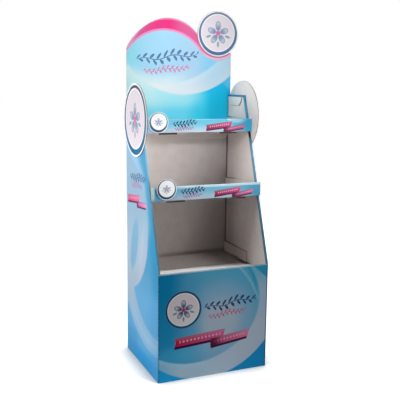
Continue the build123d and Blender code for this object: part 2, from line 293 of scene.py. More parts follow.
def wall_over(g, xyz, colour):
    """Print that reaches over the top and sloped folds, and painted shade: a painted shadow of the top lip on the
    slope fold, darker towards the rear of the bays, in the rear corner, along the lines where the shelves' side
    flanges meet the wall, and under the tucked flap's end."""
    x, y, z = xyz
    ragged = g.noise(90.0, 2.0, 0.5) * 0.8
    past_slope = y - (z - H_FRONT) * SLOPE - Y_FRONT
    # thin ink beside the fold
    wisp = g.ramp(past_slope + ragged * 4.0, 22.0, 6.0) * g.ramp(z, H_FRONT, 520.0)
    wisp = wisp * (0.22 + g.ramp(z, 1040.0, 1080.0) * 0.4)
    colour = g.mix(wisp, colour, srgb(128, 198, 220))
    # only beside the folds that are there
    slope = g.ramp(past_slope, 8.5, 5.5) * g.ramp(z, H_FRONT - 2.0, H_FRONT)
    top = g.ramp(z + ragged, H_SIDE - 9.6, H_SIDE - 8.8)
    ink = g.mix(g.ramp(z, 640.0, 860.0), srgb(52, 112, 142), srgb(58, 124, 156))
    # the ink turns almost black just under the top shelf: a painted shadow of the top lip
    ink = g.mix(g.ramp(z, 975.0, 998.0), ink, srgb(6, 36, 50))
    ink = g.mix(g.ramp(z, 1014.0, 1030.0), ink, srgb(50, 136, 172))
    colour = g.mix(g.max(slope, top), colour, ink)
    # painted shade, darker towards the rear of the lowest and middle bays
    painted_shade = g.ramp(y, 40.0, 190.0) * g.ramp(z, 740.0, 690.0) * g.ramp(z, 330.0, 430.0)
    colour = g.mix(painted_shade * 0.3, colour, SHADE)
    painted_shade = g.ramp(y, 40.0, 190.0) * g.ramp(z, 770.0, 810.0) * g.ramp(z, 1030.0, 990.0)
    colour = g.mix(painted_shade * 0.14, colour, SHADE)
    # painted shade in the rear corner against the back panel
    joint_shade = g.ramp(y, Y_PANEL - 10.0, Y_PANEL - 4.0) * g.ramp(z, 1160.0, 1150.0)
    # painted shadow lines where the shelves' side flanges meet the wall
    line = None
    rising = g.ramp(y, Y_PANEL - 0.3, MID_RISE_Y, MID_FLANGE, MID_RISE, kind="LINEAR")
    for flange, front, fade, rest in ((DECK_FLANGE, DECK_SIDE_Y, 0.0, 0.4), (rising, MID_Y + 36.0, 40.0, 0.0),
                                      (TOP_FLANGE, TOP_Y + 44.0, 100.0, 0.15)):
        d = g.ramp(abs(z - flange - 2.4), 3.2, 1.2) * g.ramp(y, front - 2.0, front + 2.0)
        d = d * (rest + g.ramp(y, fade, 190.0) * (0.75 - rest))
        line = d if line is None else g.max(line, d)
    # painted shadow under the lower edge of the tucked flap
    under = g.ramp(abs(z - 1123.0), 2.4, 0.6) * g.ramp(abs(y - 123.5), 48.0, 44.0)
    joint_shade = joint_shade * g.ramp(z, 460.0, 900.0, 0.6, 0.8)
    return g.mix(g.max(g.max(joint_shade, line), under * 0.45), colour, SHADE)


def back_over(g, xyz, colour):
    """The back panel with painted shade along its joints and towards its right-hand side, darkest in the lowest bay's
    corner, and a painted lighter band at the top of the middle bay.
    """
    x, y, z = xyz
    # painted shade towards the right-hand corner of the lowest bay and across the middle bay
    painted_shade = g.ramp(x, 20.0, 238.0, kind="LINEAR") * g.ramp(z, 760.0, 640.0) * g.ramp(z, 380.0, 430.0)
    painted_shade = g.max(painted_shade * 0.42, g.ramp(z, 690.0, 742.0) * g.ramp(z, 760.0, 745.0) * g.ramp(x, 60.0, 230.0) * 0.5)
    upper = g.ramp(x, -40.0, 238.0, kind="LINEAR") * (0.24 + g.ramp(x, 170.0, 238.0) * g.ramp(z, 870.0, 800.0) * 0.22)
    painted_shade = g.max(painted_shade, upper * g.ramp(z, 746.0, 756.0))
    colour = g.mix(painted_shade, colour, SHADE)
    # painted light: a paler band at the top of the middle bay that offsets the top shelf's shadow
    pale = g.ramp(z, 955.0, 1004.0) * g.ramp(x, 238.0, 60.0, 0.3, 1.0)
    colour = g.mix(pale * 0.42, colour, srgb(238, 230, 224))
    # painted shade in the rear corners and along the deck's joint
    joint_shade = g.ramp(abs(x), X_IN - 5.0, X_IN - 2.0) * g.ramp(z, 460.0, 900.0, 0.6, 0.8)
    joint_shade = g.max(joint_shade, g.ramp(z, 448.0, 428.0) * g.ramp(z, 415.0, 424.0) * g.ramp(x, -220.0, 140.0, 0.15, 0.5))
    return g.mix(joint_shade, colour, SHADE)


def deck_over(g, xyz, colour):
    """The deck's floor with painted shade towards its right-hand corner, just behind the lit front strip, at its left
    fold and along the rear joint.
    """
    x, y, z = xyz
    # all of the darkening below is painted shade
    fore = g.ramp(y, 120.0, -60.0)
    right = g.max(g.ramp(x, 30.0, 180.0) * (0.5 + fore * 0.25), g.ramp(x, 172.0, 222.0) * (0.62 + fore * 0.38))
    right = right * (0.15 + g.ramp(y, -88.0, -52.0) * 0.85)
    edge = g.ramp(y, -80.0, -46.0) * g.ramp(y, 0.0, -28.0) * g.ramp(x, -70.0, 110.0) * 0.6
    rest = g.max(g.ramp(x, -215.0, -238.0) * 0.35, g.ramp(y, 168.0, 198.0) * g.ramp(x, -220.0, 140.0, 0.2, 0.5))
    return g.mix(g.max(g.max(right, edge), rest), colour, SHADE)


def tab_over(z0, tone):
    """Lip board whose tabs below the shelf are darkened with painted shade."""
    def over(g, xyz, colour):
        x, y, z = xyz
        return g.mix(g.ramp(z, z0 + 0.5, z0 - 0.3), colour, tone)
    return over


MATS = {
    "wall_in": liner("white_liner_wall", 1, over=wall_over),
    "back_in": liner("white_liner_back", 0, over=back_over),
    "liner_x": liner("white_liner_x", 0),
    "liner_y": liner("white_liner_y", 1),
    "liner_z": liner("white_liner_z", 2),
    "deck": liner("white_liner_deck", 1, over=deck_over),
    # the tabs' tones below each shelf are painted shade, lighter under the middle lip
    "top_tab": liner("white_liner_top_tab", 2, over=tab_over(TOP_Z, srgb(66, 54, 48))),
    "mid_tab": liner("white_liner_middle_tab", 2, over=tab_over(MID_Z, srgb(112, 104, 100))),
    "kraft_x": kraft("kraft_x", 0),
    "kraft_y": kraft("kraft_y", 1),
}


def medium_material():
    g = Graph("fluted_paper")
    g.place()
    fibre = g.noise(600.0, 4.0, 0.7)
    colour = g.mix(fibre, srgb(206, 194, 180), srgb(176, 162, 144))
    return g.finish(colour, 0.86 + fibre * 0.08, fibre, depth=0.0001, strength=0.5, specular=0.15)


def edge_material():
    g = Graph("paper_edge")
    g.place()
    fibre = g.noise(900.0, 4.0, 0.7)
    colour = g.mix(fibre, srgb(226, 220, 212), srgb(190, 176, 158))
    return g.finish(colour, 0.8 + fibre * 0.1, fibre, depth=0.0001, strength=0.4, specular=0.2)


def tab_material():
    """Tab ends: bare board made dark brown as painted shade for the shadow under the lips."""
    g = Graph("tab_board")
    x, y, z = g.place()
    fibre = g.noise(520.0, 5.0, 0.7)
    colour = g.mix(fibre, srgb(84, 68, 60), srgb(58, 46, 42))
    return g.finish(colour, 0.8 + fibre * 0.1, fibre, depth=0.00012, strength=0.5, specular=0.2)


MATS["tab"] = tab_material()
MATS["medium"] = medium_material()
MATS["edge"] = edge_material()


# ------------------------------------------------------------ printed parts
def banner(g, u, v, base, mid, span, slant, half, hues, shadow, fold=0.0, dots=True):
    """A slanted strip of colour with a notched left end, a dark underside, a
    row of small dots, and, where fold is given, a dark turned-under start."""
    u0, u1 = span
    off = v - (mid + (u - u0) * slant)
    if fold:
        along = g.max((u0 + 2.0) - u, u - (u1 + off * 0.25))
    else:
        along = g.max((u0 + 7.0 - abs(off) * 0.35) - u, u - (u1 + off * 0.25))
    d = g.max(along, abs(off) - half)
    under = g.max(along + 2.0, abs(off + half + shadow * 0.5) - shadow)
    base = g.mix(g.cover(under, 2.0), base, hues[2])
    fill = g.mix(g.ramp(u, u0, u1, kind="LINEAR"), hues[0], hues[1])
    fill = g.mix(g.ramp(off, half * 0.1, half * 0.8) * 0.1, fill, srgb(255, 255, 255))
    fill = g.mix(g.ramp(off, half - 3.2, half - 0.8) * 0.45, fill, hues[2])
    if dots:
        step = half * 0.9
        cell = (g.math("FRACT", (u - u0) * (1.0 / step)) - 0.5) * step
        dot = g.far(g.point(cell, off), (0.0, 0.0)) - half * 0.27
        dot = g.max(dot, along + half * 0.9)
        fill = g.mix(g.cover(dot, 1.6) * 0.6, fill, srgb(255, 204, 218))
    if fold:
        fill = g.mix(g.ramp(u, u0 + fold, u0 + fold * 0.25) * 0.85, fill, hues[2])
    return g.mix(g.cover(d, 1.6), base, fill)


def vine(g, u, v, base, span, level, tilt, amp, wave, phase, cell, size, colour, strength=1.0):
    """A wavy stem with leaves on alternate sides, smaller towards its ends."""
    u0, u1 = span
    t = g.ramp(u, u0, u1, kind="LINEAR")
    env = 0.5 + g.sin(t * math.pi) * 0.5
    run = u - u0
    line = level + run * tilt + g.sin(run * (2 * math.pi / wave) + phase) * amp
    off = (v - line) / env
    f = (g.math("FRACT", run * (1.0 / cell)) - 0.5) * cell
    q = g.point(f, off)
    leaf = g.min(g.oval(q, (-cell * 0.2, size * 0.52), (size * 0.55, size * 0.2), 52.0),
                 g.oval(q, (cell * 0.28, -size * 0.52), (size * 0.55, size * 0.2), -52.0))
    d = g.min(leaf, abs(off) - 0.06 * size - 0.35)
    inside = g.cover(d, 1.2) * g.ramp(t, 0.0, 0.03) * g.ramp(t, 1.0, 0.97)
    return g.mix(inside * strength, base, colour)


def blossom(g, p, base, centre, size, petal, heart, strength=1.0):
    """A plain five-petalled flower."""
    cx, cz = centre
    d = None
    for i in range(5):
        a = math.radians(90 + i * 72)
        e = g.oval(p, (cx + math.cos(a) * size * 0.58, cz + math.sin(a) * size * 0.58),
                   (size * 0.40, size * 0.25), 90 + i * 72)
        d = e if d is None else g.min(d, e)
    soft = size * 0.04 + 0.5
    out = g.far(p, centre)
    tone = g.mix(g.ramp(out, size * 0.3, size), petal, srgb(226, 226, 238))
    # petals paler to the tip, with a firm outline
    base = g.mix(g.cover(d, soft) * strength, base, petal)
    base = g.mix(g.cover(d + size * 0.06, soft) * strength, base, tone)
    base = g.mix(g.cover(out - size * 0.2, soft), base, heart)
    leaf = None
    for a in (198, 270, 342):
        t = math.radians(a)
        e = g.oval(p, (cx + math.cos(t) * size * 0.92, cz + math.sin(t) * size * 0.92),
                   (size * 0.24, size * 0.1), a)
        leaf = e if leaf is None else g.min(leaf, e)
    return g.mix(g.cover(leaf, soft) * strength, base, srgb(88, 158, 158))


def badge_colour(g, p, centre, r, k, ring_top, ring_low, face, lean=0.0, thin=0.05, thick=0.145):
    """A round badge: pale margin, a ring that is heavier below, a pale tinted face."""
    cx, cz = centre
    far = g.far(p, centre)
    outer = r * 0.945
    inner_r = outer - r * (thin + thick) / 2
    shift = r * (thick - thin) / 2
    inner = g.far(p, (cx - lean * shift, cz + shift)) - inner_r
    sep = g.n.new("ShaderNodeSeparateXYZ")
    g.t.links.new(p.s, sep.inputs[0])
    v = Sym(g, sep.outputs[1])
    ring = g.mix(g.ramp(v, cz - r, cz + r), ring_low, ring_top)
    pale = srgb(247, 247, 250, k)
    col = g.mix(g.cover(far - outer, 1.2), pale, ring)
    col = g.mix(g.cover(inner, 1.2), col, pale)
    tint = g.mix(g.ramp(v, cz - r * 0.8, cz + r * 0.8), face[0], face[1])
    col = g.mix(g.cover(inner + r * 0.05, r * 0.05), col, tint)
    return col


def make_header():
    g = Graph("print_header")
    x, y, z = g.place()
    p = g.point(x, z)
    # pale upper field, deepening below to the right
    far_up = g.far(p, (-91.0, 1621.0)) - 407.7
    far_low = g.far(p, (20.3, 1512.8)) - 342.8
    high = g.mix(g.ramp(x, -250.0, -150.0), srgb(146, 230, 255), srgb(168, 221, 247))
    high = g.mix(g.ramp(x, -120.0, 60.0), high, srgb(172, 212, 238))
    high = g.mix(g.ramp(x, 70.0, 150.0), high, srgb(138, 212, 244))
    high = g.mix(g.ramp(far_up, -72.0, -4.0) * g.ramp(x, 100.0, -70.0), high, srgb(222, 242, 252))
    low = g.mix(g.ramp(x, -150.0, -20.0), srgb(182, 243, 255), srgb(144, 234, 255))
    low = g.mix(g.ramp(x, 10.0, 96.0), low, srgb(66, 222, 255))
    low = g.mix(g.ramp(x - (1150.0 - z) * 0.1, 84.0, 160.0), low, srgb(0, 205, 255))
    low = g.mix(g.ramp(z, 1150.0, 1085.0) * 0.5, low, srgb(20, 208, 255))
    low = g.mix(g.ramp(z, 1165.0, 1205.0) * g.ramp(x, 90.0, 160.0) * 0.7, low, srgb(16, 192, 248))
    low = g.mix(g.ramp(x, 215.0, 248.0) * g.ramp(z, 1180.0, 1120.0) * 0.6, low, srgb(58, 222, 255))
    low = g.mix(g.ramp(z, 1092.0, 1168.0) * g.ramp(x, 140.0, 60.0) * 0.3, low, srgb(212, 240, 255))
    low = g.mix(g.ramp(far_low, 70.0, 5.0) * g.ramp(x, -100.0, -180.0) * 0.6, low, srgb(228, 252, 255))
    col = g.mix(g.cover(far_low, 7.0), low, high)
    band = g.mix(g.ramp(x, -200.0, 40.0), srgb(242, 250, 255), srgb(232, 240, 246))
    band = g.mix(g.ramp(x, 30.0, 190.0), band, srgb(204, 225, 238))
    fade = g.ramp(far_up, -8.0, 6.0) * (0.72 + g.ramp(far_low, -46.0, -4.0) * 0.28)
    crisp = g.ramp(x, 10.0, 110.0)
    lower = g.cover(far_low, 4.0) * crisp + g.cover(far_low - 2.0, 15.0) * (1.0 - crisp)
    col = g.mix(lower * fade, col, band)
    # a paler wedge crosses the deep corner at the right
    wedge = g.ramp((x - 203.0) * 0.9 + (z - 1222.0), 0.0, 14.0) * g.ramp(far_low, -1.0, 2.0)
    col = g.mix(wedge * 0.38, col, srgb(124, 206, 236))
    # leafy garlands in the middle
    ink = srgb(72, 98, 158)
    col = vine(g, x, z, col, (-208.0, 92.0), 1317.0, 0.11, 7.0, 146.0, 0.3, 32.0, 29.0, ink, 0.9)
    col = vine(g, x, z, col, (-176.0, 46.0), 1268.0, 0.1, 4.0, 120.0, 2.0, 22.0, 17.0, srgb(232, 92, 156), 0.9)
    # crescent along the arch
    big = g.min(g.far(p, (-72.1, 1235.2)) - 214.0, z - 1345.0)
    ring = 114.0 - g.far(p, (181.3, 1441.9))
    # along the arch up to x = 104, then round the badge
    d = g.max(g.min(big, g.max(104.0 - x, ring)), ring)
    pink = g.mix(g.ramp(x, -225.0, -95.0), srgb(226, 88, 160), srgb(255, 24, 126))
    pink = g.mix(g.ramp(x, -60.0, 30.0), pink, srgb(234, 92, 152))
    pink = g.mix(g.ramp(x, 90.0, 130.0), pink, srgb(218, 96, 146))
    pink = g.mix(g.ramp(z, 1348.0, 1322.0) * g.ramp(x, 130.0, 165.0) * 0.6, pink, srgb(206, 190, 208))
    rim = g.mix(g.ramp(x, 90.0, 130.0), srgb(248, 152, 200), srgb(242, 194, 220))
    # the ink thins out towards the cut edge of the arch
    rise = 191.0 - g.far(p, (-58.1, 1309.8))
    pink = g.mix(g.ramp(rise, 9.0, 0.0) * g.ramp(x, 96.0, 70.0) * 0.62, pink, srgb(250, 190, 218))
    col = g.mix(g.ramp(ring, -13.0, 0.0) * g.ramp(x, 118.0, 160.0) * 0.75, col, srgb(212, 192, 208))
    col = g.mix(g.ramp(d, -5.0, 1.0), col, rim)
    col = g.mix(g.ramp(d, 3.0, 10.0), col, pink)
    # painted shade along the right-hand edge where the card meets the side wall
    col = g.mix(g.ramp(x, 243.5, 248.0) * g.ramp(z, 1186.0, 1166.0) * 0.5, col, srgb(8, 122, 150))
    # the foot behind the top shelf is bare board, darkened next to the side walls as painted shade
    foot = g.mix(g.ramp(abs(x), X_IN - 5.0, X_IN - 2.0) * 0.75, srgb(229, 222, 218), SHADE)
    col = g.mix(g.ramp(z, 1017.0, 1015.0), col, foot)
    return printed(g, col, x)


def make_side(name):
    g = Graph(name)
    x, y, z = g.place()
    u = -y
    p = g.point(u, z)
    col = g.mix(g.ramp(z, 42.0, 92.0), srgb(36, 172, 244), srgb(102, 190, 244))
    col = g.mix(g.ramp(z, 30.0, 10.0) * 0.5, col, srgb(44, 162, 216))
    col = g.mix(g.ramp(u, -20.0, -110.0) * g.ramp(z, 150.0, 100.0) * 0.6, col, srgb(64, 168, 226))
    col = g.mix(g.ramp(z, 130.0, 210.0), col, srgb(106, 187, 236))
    col = g.mix(g.ramp(z, 290.0, 400.0), col, srgb(94, 173, 218))
    col = g.mix(g.ramp(z, 395.0, 450.0), col, srgb(80, 166, 210))
    col = g.mix(g.ramp(u, 40.0, 160.0) * g.ramp(z, 340.0, 300.0) * 0.4, col, srgb(70, 170, 232))
    col = g.mix(g.ramp(z, 520.0, 720.0), col, srgb(150, 194, 220))
    col = g.mix(g.ramp(g.far(p, (-90.0, 890.0)), 90.0, 10.0) * 0.5, col, srgb(164, 210, 242))
    # light field of the upper ring and the lower sweep
    light = g.mix(g.ramp(z, 110.0, 360.0), srgb(156, 208, 246), srgb(180, 202, 222))
    light = g.mix(g.ramp(z, 480.0, 700.0), light, srgb(156, 190, 214))
    ring = g.far(p, (-219.0, 604.3)) - 303.3
    up = 292.7 - g.far(p, (144.8, 470.9))
    down = g.far(p, (108.2, 518.3)) - 419.0
    sweep = g.cover(g.max(up, down), 22.0) * g.ramp(z, 352.0, 322.0)
    col = g.mix(g.max(g.cover(ring, 12.0), sweep), col, light)
    core = abs(g.far(p, (114.8, 481.3)) - 344.5) - 9.0
    col = g.mix(g.cover(core, 22.0) * g.ramp(z, 300.0, 230.0) * 0.75, col, srgb(176, 218, 255))
    thin = abs(up + 16.0) - 2.0
    col = g.mix(g.cover(thin, 9.0) * g.ramp(z, 300.0, 240.0) * 0.4, col, srgb(120, 192, 236))
    eye = g.oval(p, (-99.0, 520.0), (124.0, 43.0), 73.0)
    col = g.mix(g.cover(eye, 20.0) * 0.92, col, srgb(128, 183, 220))
    glint = g.oval(p, (-4.0, 500.0), (120.0, 20.0), 76.0)
    col = g.mix(g.cover(glint, 22.0) * 0.4, col, srgb(200, 212, 232))
    # deeper blue along the front edge
    edge = y - Y_FRONT - g.max((z - H_FRONT) * SLOPE, 0.0)
    deep = g.mix(g.ramp(z, 300.0, 460.0), srgb(72, 168, 220), srgb(42, 154, 203))
    deep = g.mix(g.ramp(z, 560.0, 880.0), deep, srgb(82, 163, 202))
    narrow = edge * (1.0 + g.ramp(z, 560.0, 650.0) * 0.7 - g.ramp(z, 820.0, 900.0) * 0.75)
    deep_on = g.ramp(narrow, 122.0, 34.0) * (0.25 + g.ramp(z, 300.0, 380.0) * 0.7)
    col = g.mix(deep_on, col, deep)
    col = vine(g, u, z, col, (-156.0, 54.0), 812.0, 0.07, 4.0, 110.0, 0.3, 24.0, 22.0, srgb(48, 70, 128), 0.95)
    col = vine(g, u, z, col, (-140.0, 10.0), 782.0, 0.05, 3.0, 90.0, 2.0, 18.0, 15.0, srgb(196, 92, 168), 0.9)
    col = banner(g, u, z, col, 716.0, (-192.0, -30.0), 0.11, 14.0,
                 (srgb(214, 78, 126), srgb(232, 124, 172), srgb(118, 26, 68)), 5.0)
    col = banner(g, u, z, col, 707.0, (-66.0, 62.0), 0.08, 10.5,
                 (srgb(196, 66, 136), srgb(236, 146, 204), srgb(84, 30, 84)), 4.5, fold=34.0)
    # painted shade along the front fold, only where it is square
    col = g.mix(g.ramp(edge, 6.0, 1.5) * g.ramp(z, H_FRONT + 6.0, H_FRONT - 6.0) * 0.6, col, srgb(10, 66, 108))
    return printed(g, col, y, fold=g.min(edge + g.ramp(z, H_FRONT - 4.0, H_FRONT + 20.0) * 4.2, Y_BACK - y))


def make_front():
    g = Graph("print_front")
    x, y, z = g.place()
    p = g.point(x, z)
    out = g.far(p, (28.0, 236.0))
    col = g.mix(g.ramp(z, 90.0, 420.0), srgb(110, 180, 216), srgb(90, 176, 212))
    col = g.mix(g.ramp(out, 215.0, 120.0), col, srgb(136, 186, 217))
    col = g.mix(g.ramp(out, 135.0, 50.0), col, srgb(180, 198, 214))
    col = g.mix(g.ramp(x, -30.0, -130.0) * 0.85, col, srgb(78, 164, 206))
    edge_left = g.mix(g.ramp(z, 90.0, 420.0), srgb(34, 154, 208), srgb(0, 138, 194))
    col = g.mix(g.ramp(x, -110.0, -205.0), col, edge_left)
    col = g.mix(g.cover(g.oval(p, (-165.0, 110.0), (95.0, 34.0)), 40.0) * 0.4, col, srgb(86, 196, 238))
    # wide pale arc from the lower left round to the upper right
    low_in = g.far(p, (-89.7, 406.3)) - 338.5
    right_in = g.far(p, (-27.8, 318.3)) - 235.9 - g.ramp(x, 112.0, 50.0) * 220.0
    inner = -g.max(low_in, right_in)
    outer = g.far(p, (-34.5, 347.4)) - 356.3
    corner = ((x - 176.0) * 0.655 + (z - 459.0) * 0.756) - 2.0
    outside = g.ramp(g.max(outer, corner), -3.0, 4.0)
    beyond = g.mix(g.ramp(z, 60.0, 380.0), srgb(14, 154, 216), srgb(40, 162, 204))
    beyond = g.mix(g.ramp(x, -60.0, -200.0), beyond, srgb(24, 174, 238))
    tone = g.mix(g.ramp(x, -100.0, 100.0), srgb(180, 208, 228), srgb(190, 207, 226))
    tone = g.mix(g.ramp(z, 200.0, 300.0), tone, srgb(172, 202, 228))
    tone = g.mix(g.ramp(z, 340.0, 440.0), tone, srgb(118, 190, 220))
    tone = g.mix(g.ramp(x, -150.0, -235.0) * 0.8, tone, srgb(136, 206, 238))
    col = g.mix(g.ramp(inner, 3.0, -9.0), col, tone)
    # a brighter strip along the inside of the arc at the lower left
    strip = abs(inner + 12.0) - 8.0
    col = g.mix(g.cover(strip, 9.0) * g.ramp(x, 0.0, -80.0) * 0.5, col, srgb(176, 224, 246))
    col = g.mix(outside, col, beyond)
    line = abs(g.far(p, (-158.0, 190.0)) - 383.0) - 5.0
    col = g.mix(g.cover(line, 9.0) * g.ramp(z, 270.0, 360.0) * 0.6, col, srgb(150, 212, 230))
    gap = abs(inner - 7.0) - 6.0
    col = g.mix(g.cover(gap, 8.0) * g.ramp(z, 330.0, 410.0) * 0.75, col, srgb(36, 160, 200))
    # the cut top edge is rubbed pale, and painted lighter here as a highlight of the lit top edge
    col = g.mix(g.ramp(z, H_FRONT - 3.6, H_FRONT - 2.4) * g.ramp(x, 215.0, 150.0) * 0.8, col, srgb(205, 232, 244))
    # garlands
    ink = srgb(26, 60, 112)
    col = vine(g, x, z, col, (-48.0, 198.0), 297.0, 0.1, 6.0, 128.0, 0.3, 28.0, 26.0, ink, 0.95)
    col = vine(g, x, z, col, (-30.0, 150.0), 258.0, 0.09, 3.5, 100.0, 2.0, 19.0, 15.0, srgb(206, 78, 120), 0.9)
    # two overlapping strips of colour
    col = banner(g, x, z, col, 164.5, (-180.0, 46.0), 0.066, 18.5,
                 (srgb(190, 10, 70), srgb(222, 98, 152), srgb(62, 4, 62)), 7.0)
    col = banner(g, x, z, col, 144.5, (-19.0, 162.0), 0.125, 16.5,
                 (srgb(176, 26, 96), srgb(232, 128, 170), srgb(66, 6, 52)), 6.5, fold=66.0)
    # round badge
    c, rad = (-139.8, 303.2), 80.0
    d = g.far(p, c) - rad
    face = badge_colour(g, p, c, rad / 0.945, 1.0, srgb(16, 74, 112), srgb(20, 88, 128),
                        (srgb(236, 226, 230), srgb(228, 216, 222)), 0.2, 0.095, 0.12)
    face = blossom(g, p, face, (-140.0, 303.0), 43.0, srgb(74, 88, 124), srgb(186, 64, 124), 0.95)
    col = g.mix(g.cover(d, 1.2), col, face)
    # painted shade along the right-hand fold; the top fold is rubbed pale
    col = g.mix(g.ramp(x, 241.0, 246.5) * 0.82, col, srgb(20, 62, 88))
    rub = g.ramp(z + g.noise(40.0, 4.0, 0.6) * 2.0, H_FRONT - 4.6, H_FRONT - 2.2)
    col = g.mix(rub * 0.6, col, srgb(212, 228, 236))
    return printed(g, col, x, fold=248.8 - abs(x), shine=0.12)


def make_lip(name, z0, lip_h, margin, hues):
    low, high, left, right = [srgb(*h) for h in hues]
    g = Graph(name)
    x, y, z = g.place()
    p = g.point(x, z)
    h = z - z0
    col = g.mix(g.ramp(h, 2.0, 36.0), low, high)
    col = g.mix(g.ramp(x - h * 0.5, -130.0, -215.0), col, left)
    col = g.mix(g.ramp(x + h * 0.8, 168.0, 246.0), col, right)
    glow = g.cover(g.oval(p, (-10.0, z0 - 50.0), (250.0, 84.0), -4.0), 24.0)
    col = g.mix(glow * 0.12, col, srgb(196, 208, 222))
    if margin:
        col = g.mix(g.ramp(h, lip_h - 11.0, lip_h - 7.0) * 0.85, col, srgb(188, 206, 214))
    else:
        glint = g.oval(p, (176.0, z0 + 49.0), (34.0, 11.0))
        col = g.mix(g.cover(glint, 12.0) * 0.8, col, srgb(176, 220, 234))
        col = g.mix(g.ramp(h, lip_h - 2.4, lip_h - 1.2) * 0.4, col, srgb(208, 222, 230))
    col = vine(g, x, z, col, (-120.0, -10.0), z0 + 31.5, 0.1, 2.4, 70.0, 0.3, 15.0, 16.5, srgb(22, 30, 64), 0.98)
    col = vine(g, x, z, col, (-112.0, -24.0), z0 + 13.5, 0.08, 1.4, 50.0, 2.0, 11.0, 10.0, srgb(156, 58, 122), 0.9)
    col = banner(g, x, z, col, z0 + 20.0, (28.0, 153.0), 0.12, 10.5,
                 (srgb(138, 8, 62), srgb(190, 72, 124), srgb(78, 8, 56)), 4.0)
    col = banner(g, x, z, col, z0 + 7.5, (112.0, 215.0), 0.17, 8.4,
                 (srgb(138, 24, 88), srgb(204, 104, 152), srgb(74, 10, 62)), 3.4, fold=36.0)
    if margin:
        col = g.mix(g.ramp(x, -232.0, -238.0) * g.ramp(h, 0.0, 18.0, 0.4, 1.0), col, srgb(196, 216, 220))
    return printed(g, col, z)


def make_disc(name, plane, centre, r, k, ring_top, ring_low, face, lean, thin, thick, size):
    g = Graph(name)
    x, y, z = g.place()
    flip = -1.0 if plane == "left" else 1.0
    u = x if plane == "front" else y * flip
    c = (centre[0] * (1.0 if plane == "front" else flip), centre[1])
    p = g.point(u, z)
    col = badge_colour(g, p, c, r, k, ring_top, ring_low, face, lean, thin, thick)
    col = blossom(g, p, col, (c[0], c[1] + r * 0.03), size, srgb(120, 140, 172, k), srgb(226, 110, 160, k), 0.8)
    return printed(g, col, u, 0.7)


def make_bleed():
    g = Graph("print_bleed")
    x, y, z = g.place()
    col = g.mix(g.ramp(z, 640.0, 860.0), srgb(62, 118, 142), srgb(84, 134, 156))
    col = g.mix(g.ramp(z, 930.0, 975.0), col, srgb(58, 116, 138))
    # almost black just under the top shelf: a painted shadow of the top lip
    col = g.mix(g.ramp(z, 980.0, 998.0), col, srgb(4, 32, 46))
    col = g.mix(g.ramp(z, 1014.0, 1030.0), col, srgb(64, 148, 184))
    # the left fold is painted paler than the right, a painted highlight where it faces the light
    pale = g.mix(g.ramp(z, 690.0, 770.0), srgb(104, 150, 176), srgb(132, 184, 212))
    pale = g.mix(g.ramp(z, 968.0, 988.0), pale, srgb(76, 116, 150))
    col = g.mix(g.ramp(x, 10.0, -10.0), col, pale)
    worn = g.ramp(g.noise(160.0, 5.0, 0.7), 0.62, 0.74)
    col = g.mix(worn * 0.3, col, srgb(150, 190, 215))
    return printed(g, col, y)


def make_flap():
    """Rear glue flap: the print runs a little way round, then bare paper."""
    g = Graph("print_flap")
    x, y, z = g.place()
    edge = abs(x) + g.noise(24.0, 2.0, 0.5) * 1.2
    bare = g.mix(g.noise(26.0, 5.0, 0.62), srgb(224, 217, 211), srgb(206, 197, 189))
    col = g.mix(g.ramp(edge, 236.0, 236.8), bare, srgb(60, 146, 200))
    return printed(g, col, x)


MATS["header"] = make_header()
MATS["side"] = make_side("print_side")
MATS["front"] = make_front()
MATS["top_lip"] = make_lip("print_top_lip", TOP_Z, TOP_LIP - TOP_Z, False, (
    (172, 190, 202), (100, 184, 210), (136, 190, 224), (60, 172, 212)))
MATS["mid_lip"] = make_lip("print_middle_lip", MID_Z, MID_LIP - MID_Z, True, (
    (160, 184, 198), (104, 166, 194), (80, 166, 212), (72, 152, 184)))
MATS["bleed"] = make_bleed()
MATS["flap"] = make_flap()
PALE = (srgb(240, 228, 232), srgb(234, 222, 230))
FAINT = (srgb(232, 222, 228), srgb(228, 218, 228))
WHITE = (srgb(246, 246, 244), srgb(244, 242, 244))
MATS["header_disc"] = make_disc("print_header_disc", "front", (181.3, 1441.9), 100.7, 1.0,
                                srgb(116, 124, 156), srgb(74, 112, 160), PALE, 0.1, 0.075, 0.14, 54.0)
MATS["left_disc"] = make_disc("print_left_disc", "left", (74.1, 1063.0), 155.0, 1.0,
                              srgb(74, 84, 116), srgb(50, 116, 160), FAINT, 0.3, 0.075, 0.15, 70.0)
MATS["right_disc"] = make_disc("print_right_disc", "right", (73.4, 1079.4), 155.0, 1.0,
                               srgb(84, 96, 130), srgb(56, 124, 172), PALE, -0.3, 0.06, 0.15, 84.0)
MATS["top_disc"] = make_disc("print_top_lip_disc", "front", (-184.8, 1058.4), 43.2, 1.0,
                             srgb(92, 146, 168), srgb(20, 64, 96), WHITE, -0.4, 0.07, 0.23, 18.0)
MATS["mid_disc"] = make_disc("print_middle_lip_disc", "front", (-183.5, 792.6), 43.4, 1.0,
                             srgb(70, 94, 124), srgb(32, 66, 98), WHITE, -0.4, 0.08, 0.21, 18.0)
ORDER = list(MATS)


# ----------------------------------------------------------- board geometry
def regions(bm, limit=math.radians(35)):
    """Groups of faces that join smoothly."""
    seen, out = set(), []
    for f in bm.faces:
        if f in seen:
            continue
        stack, reg = [f], []
        seen.add(f)
        while stack:
            a = stack.pop()
            reg.append(a)
            for e in a.edges:
                if len(e.link_faces) == 2 and e.calc_face_angle(9.0) < limit:
                    for b in e.link_faces:
                        if b not in seen:
                            seen.add(b)
                            stack.append(b)
        out.append(reg)
    return out


def width_of(reg):
    """Twice the area over the rim, which for a strip is about its width."""
    inside = set(reg)
    area = sum(f.calc_area() for f in reg)
    rim = sum(e.calc_length() for f in reg for e in f.edges
              if not all(b in inside for b in e.link_faces))
    return 2 * area / max(rim, 1e-9)


